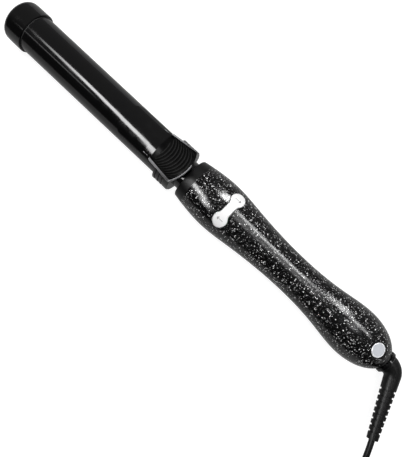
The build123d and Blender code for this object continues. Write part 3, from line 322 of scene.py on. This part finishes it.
def barrel_black():
    """Black ceramic coat on the barrel and the clamp."""
    material, tree = new_material("barrel_black", (0.001, 0.001, 0.0012), roughness=0.1)
    uneven_roughness(tree, scale=140.0, low=0.08, high=0.14)
    add_bump(tree, scale=45.0, strength=0.04, distance=0.0001)
    return material


def flake_amount(tree, scale, smallest, largest, rarity):
    """Round flakes of uneven size: how much each one shows, few of them fully."""
    cells = tree.nodes.new("ShaderNodeTexVoronoi")
    give(tree, cells.inputs["Scale"], scale)
    give(tree, cells.inputs["Vector"], object_coordinates(tree))
    chance = tree.nodes.new("ShaderNodeSeparateColor")
    give(tree, chance.inputs["Color"], cells.outputs["Color"])
    size = spread(tree, chance.outputs["Red"], smallest, largest, FULL_SPAN)
    inside = calculate(tree, "LESS_THAN", cells.outputs["Distance"], size)
    shown = calculate(tree, "POWER", chance.outputs["Green"], rarity)
    return calculate(tree, "MULTIPLY", inside, shown)


def glitter_black():
    """Black plastic under a clear coat: sparse white glitter, and fine flakes that tilt about."""
    material, tree = new_material(
        "glitter_black", (0.0018, 0.0018, 0.002), roughness=0.3, specular=0.0
    )
    feed(tree, "Coat Weight", 1.0)
    feed(tree, "Coat Roughness", 0.06)
    fine = flake_amount(tree, scale=1700.0, smallest=0.1, largest=0.55, rarity=3.4)
    bright = flake_amount(tree, scale=1000.0, smallest=0.05, largest=0.55, rarity=3.6)
    dust = mix_colours(tree, fine, (0.0004, 0.0004, 0.0005), (0.075, 0.075, 0.078))
    glitter = mix_colours(tree, bright, BLACK, WHITE)
    feed(tree, "Base Color", mix_colours(tree, 1.0, dust, glitter, blend="ADD"))
    taken_off = calculate(tree, "MULTIPLY", bright, 0.6)
    shine = calculate(tree, "SUBTRACT", fine, taken_off)
    feed(tree, "Metallic", calculate(tree, "MAXIMUM", shine, 0.0))
    add_bump(tree, scale=1700.0, strength=0.5, distance=0.0003)
    add_bump(tree, scale=1300.0, strength=0.6, distance=0.00011, socket="Coat Normal")
    return material


def painted_rim_highlight(tree):
    """How much painted highlight the lever's two side rims get, less towards their rear, else 0."""
    along, across = plan_coordinates(tree)
    growth = calculate(tree, "MULTIPLY", along, RIM_SPREAD)
    rim = calculate(tree, "ADD", growth, RIM_START)
    side = calculate(tree, "GREATER_THAN", calculate(tree, "ABSOLUTE", across), rim)
    return calculate(tree, "MULTIPLY", side, spread(tree, along, *RIM_PAINTED_HIGHLIGHT, RIM_ENDS))


def painted_rear_glint(tree):
    """1 on the part of the lever's rear edge that gets a painted glint, else 0."""
    _, across = plan_coordinates(tree)
    # Painted glint: the band along the rear edge that is coloured paler
    painted_highlight_band = calculate(
        tree, "GREATER_THAN", distance_from(tree, REAR_EDGE_MIDDLE), REAR_EDGE_REACH
    )
    return calculate(tree, "MULTIPLY", painted_highlight_band, calculate(tree, "LESS_THAN", across, REAR_GLINT_END))


def lever_black():
    """The lever's black plastic: satin, with a painted highlight on its side rims and a painted
    glint along its rear edge.

    Its foot, in front of the lever itself, is as glossy as the clamp that it stands on.
    """
    material, tree = new_material(
        "lever_black", PLASTIC_BLACK, LEVER_ROUGHNESS, specular=LEVER_SPECULAR
    )
    along, _ = plan_coordinates(tree)
    unevenness = calculate(tree, "MULTIPLY", noise(tree, 90.0), FOOT_UNEVENNESS)
    foot = calculate(tree, "ADD", calculate(tree, "LESS_THAN", along, LEVER_FRONT), unevenness)
    roughness = spread(tree, foot, LEVER_ROUGHNESS, FOOT_ROUGHNESS, FULL_SPAN)
    specular = spread(tree, foot, LEVER_SPECULAR, FOOT_SPECULAR, FULL_SPAN)
    feed(tree, "Roughness", roughness)
    feed(tree, "Specular IOR Level", specular)
    # Painted highlight on the side rims and painted glint on the rear edge, both as a paler base
    # colour
    painted_highlights = calculate(tree, "MAXIMUM", painted_rim_highlight(tree), painted_rear_glint(tree))
    feed(tree, "Base Color", mix_colours(tree, painted_highlights, PLASTIC_BLACK, (0.32, 0.32, 0.33)))
    return material


def nose_black():
    """The handle's satin black nose."""
    material, tree = new_material("nose_black", PLASTIC_BLACK, roughness=0.35, specular=0.3)
    uneven_roughness(tree, scale=120.0, low=0.3, high=0.4)
    return material


def arrow_mark(tree):
    """1 on a small arrow in the middle of each of the rocker's lobes, else 0."""
    along, across = plan_coordinates(tree)
    from_middle = calculate(tree, "SUBTRACT", along, ROCKER_X)
    forward = calculate(tree, "MULTIPLY", from_middle, calculate(tree, "SIGN", across))
    aside = calculate(tree, "SUBTRACT", calculate(tree, "ABSOLUTE", across), LOBE_MIDDLE)
    aside = calculate(tree, "ABSOLUTE", aside)
    narrow = calculate(tree, "LESS_THAN", aside, ARROW_LINE / 2)
    short = calculate(tree, "LESS_THAN", calculate(tree, "ABSOLUTE", forward), ARROW_HALF)
    shaft = calculate(tree, "MULTIPLY", narrow, short)
    to_point = calculate(tree, "SUBTRACT", ARROW_HALF, forward)
    barb = calculate(tree, "SUBTRACT", aside, calculate(tree, "MULTIPLY", to_point, BARB_SLOPE))
    barb = calculate(tree, "LESS_THAN", calculate(tree, "ABSOLUTE", barb), ARROW_LINE)
    near_point = calculate(tree, "LESS_THAN", to_point, ARROW_HALF / 2)
    not_past = calculate(tree, "GREATER_THAN", to_point, 0.0)
    head = calculate(tree, "MULTIPLY", barb, calculate(tree, "MULTIPLY", near_point, not_past))
    return calculate(tree, "MAXIMUM", shaft, head)


def white_gloss():
    """White moulded plastic with a thin grey arrow printed on each lobe of the rocker."""
    material, tree = new_material("white_gloss", (0.9, 0.9, 0.9), roughness=0.3)
    plain = mix_colours(tree, noise(tree, 120.0), (0.88, 0.88, 0.88), (0.92, 0.92, 0.92))
    feed(tree, "Base Color", mix_colours(tree, arrow_mark(tree), plain, (0.25, 0.25, 0.25)))
    uneven_roughness(tree, scale=200.0, low=0.28, high=0.36)
    return material


def silver_paint():
    """Silver painted plastic with a fine grain, and a painted highlight as a paler rim round the
    power button.
    """
    material, tree = new_material("silver_paint", (0.6, 0.6, 0.62), roughness=0.4, metallic=0.25)
    grain = mix_colours(tree, noise(tree, 2600.0), (0.5, 0.52, 0.56), (0.78, 0.8, 0.85))
    # Painted highlight: a paler ring round the power button's edge
    rim = calculate(tree, "GREATER_THAN", distance_from(tree, BUTTON_X), BUTTON_RIM)
    feed(tree, "Base Color", mix_colours(tree, rim, grain, (0.9, 0.91, 0.94)))
    uneven_roughness(tree, scale=1500.0, low=0.34, high=0.46)
    return material


def dark_recess():
    """Matte dark plastic in gaps and recesses."""
    material, tree = new_material("dark_recess", (0.003, 0.003, 0.003), roughness=0.6)
    add_bump(tree, scale=2500.0, strength=0.15, distance=0.00005)
    return material


def rubber(name, colour, roughness, grain, specular=0.35):
    """Matte rubber with a fine grain."""
    material, tree = new_material(name, colour, roughness, specular=specular)
    unevenness = 0.06
    uneven_roughness(tree, grain / 3, roughness - unevenness, roughness + unevenness)
    add_bump(tree, grain, strength=0.2, distance=0.00005)
    return material


def grip_rubber():
    """The grip's black rubber, with a painted highlight along the rear edge of each curved rib."""
    material = rubber("grip_rubber", RUBBER_BLACK, roughness=0.5, grain=2200.0, specular=0.04)
    tree = material.node_tree
    along, across = plan_coordinates(tree)
    across_square = calculate(tree, "MULTIPLY", across, across)
    left_over = calculate(tree, "SUBTRACT", GRIP_RADIUS ** 2, across_square)
    arc_height = calculate(tree, "SQRT", left_over)
    apex = calculate(tree, "ADD", along, GRIP_RADIUS)
    apex = calculate(tree, "SUBTRACT", apex, arc_height)
    from_first = calculate(tree, "SUBTRACT", apex, GRIP_FIRST)
    pitches = calculate(tree, "DIVIDE", from_first, GRIP_PITCH)
    share = calculate(tree, "FRACT", pitches)
    # Painted highlight: a paler band along the rear edge of each rib
    painted_highlight_band = calculate(tree, "GREATER_THAN", share, GRIP_DARK_SHARE)
    feed(tree, "Base Color", mix_colours(tree, painted_highlight_band, RUBBER_BLACK, (0.016, 0.016, 0.016)))
    return material


def metal(name, colour, roughness):
    """Bare metal whose gloss varies slightly."""
    material, tree = new_material(name, colour, roughness, metallic=1.0)
    unevenness = 0.08
    uneven_roughness(tree, 900.0, roughness - unevenness, roughness + unevenness)
    return material


def plain_plastic(name, colour, roughness):
    """Inner moulded plastic with a light grain."""
    material, tree = new_material(name, colour, roughness)
    paler = tuple(channel * 1.06 for channel in colour)
    feed(tree, "Base Color", mix_colours(tree, noise(tree, 400.0), colour, paler))
    add_bump(tree, scale=1500.0, strength=0.1, distance=0.00005)
    return material


# The record's slots, and the nodes that need a material of their own
slot_materials = {
    "black_shell": glitter_black(),
    "black_gloss": gloss_black(),
    "barrel_coat": barrel_black(),
    "white_gloss": white_gloss(),
    "silver": silver_paint(),
    "dark_recess": dark_recess(),
    "grip": grip_rubber(),
    "steel": metal("steel", (0.58, 0.58, 0.58), roughness=0.3),
    "aluminium": metal("aluminium", (0.7, 0.7, 0.71), roughness=0.35),
    "brass": metal("brass", (0.75, 0.58, 0.3), roughness=0.28),
    "inner_plastic": plain_plastic("inner_plastic", (0.72, 0.71, 0.67), roughness=0.5),
    "board": plain_plastic("board", (0.04, 0.2, 0.08), roughness=0.4),
    "ceramic": plain_plastic("ceramic", (0.8, 0.79, 0.75), roughness=0.55),
    "lead": rubber("lead_rubber", (0.5, 0.05, 0.04), roughness=0.5, grain=1500.0),
    "cord_rubber": rubber("cord_rubber", RUBBER_BLACK, roughness=0.42, grain=1800.0),
}
node_materials = {
    "swivel_drum": slot_materials["dark_recess"],
    "thumb_lever": lever_black(),
    "nose_ring": nose_black(),
}


def dress_nodes():
    """Gives each CAD node the material of its slot, or its own where it needs another."""
    for name, node in nodes.items():
        node.data.materials.clear()
        node.data.materials.append(node_materials.get(name, slot_materials[slot_of[name]]))


# Cord
def coil_half_turns():
    """Radius and height of the coil's line at the start of each half turn, and at its end."""
    radius, height = COIL_OUTER, 0.0
    halves = [(radius, height)]
    for layer in range(COIL_LAYERS):
        change = COIL_STEP / 2 if layer % 2 else -COIL_STEP / 2
        for _ in range(LAYER_HALF_TURNS):
            radius += change
            halves.append((radius, height))
        height += LAYER_RISE
        halves.append((radius, height))
    return halves


def cord_places():
    """The points of the cord's spline, from the boot through the coil to the plug."""
    upward = Vector((0, 0, 1))
    elbow = BOOT_ELBOW * Vector((math.sin(BOOT_TURN), math.cos(BOOT_TURN) - 1, 0))
    heading = Vector((math.cos(BOOT_TURN), -math.sin(BOOT_TURN), 0))
    left = Vector((math.sin(BOOT_TURN), math.cos(BOOT_TURN), 0))
    boot_end = Vector((BOOT_START + BOOT_LEAD, 0, AXIS_HEIGHT)) + elbow + heading * BOOT_LENGTH
    places = [
        boot_end + heading * along + left * aside + upward * up for along, aside, up in ROUTE_STEPS
    ]
    forward = (places[-1] - places[-2]).normalized()
    outward = Vector((forward.y, -forward.x, 0))
    middle = places[-1] - outward * COIL_OUTER
    halves = coil_half_turns()
    # The spline passes inside its points, so the coil's own lie that much further out
    step = math.pi / POINTS_PER_HALF_TURN
    widen = 1 / (SPLINE_WEIGHT + (1 - SPLINE_WEIGHT) * math.cos(step))
    for half, (before, after) in enumerate(zip(halves, halves[1:])):
        for i in range(POINTS_PER_HALF_TURN):
            share = (i + 0.5) / POINTS_PER_HALF_TURN
            radius = (before[0] + (after[0] - before[0]) * share) * widen
            lift = before[1] + (after[1] - before[1]) * share
            angle = (half + share) * math.pi
            round_place = outward * math.cos(angle) + forward * math.sin(angle)
            places.append(middle + round_place * radius + upward * lift)
    last_radius, last_lift = halves[-1]
    facing = (-1) ** (len(halves) - 1)
    outward, forward = outward * facing, forward * facing
    coil_end = middle + outward * last_radius + upward * last_lift
    corner = coil_end + forward * TAIL_RADIUS + upward * (TAIL_RISE / 2)
    tail_end = coil_end + (forward - outward) * TAIL_RADIUS + upward * TAIL_RISE
    places += [coil_end, corner, tail_end, tail_end - outward * TAIL_RUN]
    return places


def make_cord():
    """The cord as one smooth line with a round section."""
    places = cord_places()
    line = bpy.data.curves.new("mains_cord", "CURVE")
    line.dimensions = "3D"
    line.bevel_depth = CORD_DIAMETER / 2
    line.bevel_resolution = 6
    line.resolution_u = 6
    line.use_fill_caps = True
    spline = line.splines.new("NURBS")
    spline.points.add(len(places) - 1)
    for point, place in zip(spline.points, places):
        point.co = (*place, 1.0)
    spline.order_u = 3
    spline.use_endpoint_u = True
    cord = bpy.data.objects.new("mains_cord", line)
    bpy.context.scene.collection.objects.link(cord)
    line.materials.append(slot_materials["cord_rubber"])
    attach(cord, "cord_swivel")
    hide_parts("cord", "cord_coil")


# Camera, floor and light
def make_camera():
    """The camera at the photograph's viewing angle."""
    data = bpy.data.cameras.new("camera")
    data.sensor_fit = "VERTICAL"
    data.sensor_width = SENSOR_SIZE
    data.sensor_height = SENSOR_SIZE
    data.lens = FOCAL_PIXELS / PHOTO_HEIGHT * SENSOR_SIZE
    camera = bpy.data.objects.new("camera", data)
    bpy.context.scene.collection.objects.link(camera)
    back = Vector((
        math.sin(AZIMUTH) * math.cos(ELEVATION),
        -math.cos(AZIMUTH) * math.cos(ELEVATION),
        math.sin(ELEVATION),
    ))
    camera.location = LOOKED_AT + back * DISTANCE
    camera.rotation_mode = "QUATERNION"
    camera.rotation_quaternion = (-back).to_track_quat("-Z", "Y")
    bpy.context.scene.camera = camera


def floor_material():
    """A diffuse grey, and a light of its own that only shows and doesn't light the tool."""
    material = bpy.data.materials.new("floor_white")
    material.use_nodes = True
    tree = material.node_tree
    tree.nodes.clear()
    output = tree.nodes.new("ShaderNodeOutputMaterial")
    diffuse = tree.nodes.new("ShaderNodeBsdfDiffuse")
    give(tree, diffuse.inputs["Color"], FLOOR_GREY)
    path = tree.nodes.new("ShaderNodeLightPath")
    shares = [calculate(tree, "MULTIPLY", path.outputs[ray], light) for ray, light in FLOOR_GLOW]
    seen, mirrored, through = shares
    strength = calculate(tree, "ADD", seen, calculate(tree, "ADD", mirrored, through))
    glow = tree.nodes.new("ShaderNodeEmission")
    give(tree, glow.inputs["Color"], WHITE)
    give(tree, glow.inputs["Strength"], strength)
    both = tree.nodes.new("ShaderNodeAddShader")
    give(tree, both.inputs[0], diffuse.outputs["BSDF"])
    give(tree, both.inputs[1], glow.outputs["Emission"])
    give(tree, output.inputs["Surface"], both.outputs["Shader"])
    return material


def make_floor():
    """A wide pale floor that stays white around the tool and keeps its soft shadow."""
    mesh = bpy.data.meshes.new("floor")
    corners = [(-1, -1), (1, -1), (1, 1), (-1, 1)]
    mesh.from_pydata([(x * FLOOR_HALF, y * FLOOR_HALF, 0) for x, y in corners], [], [(0, 1, 2, 3)])
    floor = bpy.data.objects.new("floor", mesh)
    bpy.context.scene.collection.objects.link(floor)
    floor.location.z = -FLOOR_DROP
    mesh.materials.append(floor_material())


def make_world():
    """A world that is white behind the floor, and dim grey for the tool, darker on one side."""
    world = bpy.data.worlds.new("studio")
    bpy.context.scene.world = world
    world.use_nodes = True
    tree = world.node_tree
    direction = tree.nodes.new("ShaderNodeTexCoord").outputs["Generated"]
    _, across = separate(tree, direction)
    side = spread(tree, across, WORLD_DARK, WORLD_BRIGHT, WORLD_SPAN)
    path = tree.nodes.new("ShaderNodeLightPath")
    strength = calculate(tree, "MAXIMUM", side, path.outputs["Is Camera Ray"])
    background = tree.nodes["Background"]
    give(tree, background.inputs["Color"], WHITE)
    give(tree, background.inputs["Strength"], strength)


def area_light(name, place, aim, size, power, gloss=True, diffuse=True):
    """A flat lamp at a place, turned to what it lights, its size along and across the tool."""
    data = bpy.data.lights.new(name, "AREA")
    data.shape = "RECTANGLE"
    data.size, data.size_y = size
    data.energy = power
    lamp = bpy.data.objects.new(name, data)
    bpy.context.scene.collection.objects.link(lamp)
    lamp.location = place
    direction = Vector(aim) - Vector(place)
    lamp.rotation_mode = "QUATERNION"
    lamp.rotation_quaternion = direction.to_track_quat("-Z", "Y")
    lamp.visible_camera = False
    lamp.visible_diffuse = diffuse
    lamp.visible_glossy = gloss


def gloss_panel(name, x_span, y_span, radiance):
    """A lamp that only shows as a highlight, level over the tool."""
    size = (x_span[1] - x_span[0], y_span[1] - y_span[0])
    middle = ((x_span[0] + x_span[1]) / 2, (y_span[0] + y_span[1]) / 2)
    power = radiance * math.pi * size[0] * size[1]
    area_light(name, (*middle, PANEL_HEIGHT), (*middle, 0.0), size, power, diffuse=False)


def make_lights():
    """A soft box that only lights, and panels that only show as highlights in the gloss."""
    area_light("top_soft", SOFT_PLACE, (0.0, 0.0, 0.0), SOFT_SIZE, SOFT_POWER, gloss=False)
    for number, (first, second) in enumerate(zip(BARREL_PANEL, BARREL_PANEL[1:])):
        low, high = (first[1] + second[1]) / 2, (first[2] + second[2]) / 2
        gloss_panel(f"barrel_panel_{number}", (first[0], second[0]), (low, high), first[3])
    for name, x_span, y_span, radiance in GLINT_PANELS:
        gloss_panel(name, x_span, y_span, radiance)


dress_nodes()
make_cord()
make_camera()
make_floor()
make_world()
make_lights()
bpy.context.scene.view_settings.view_transform = "Standard"
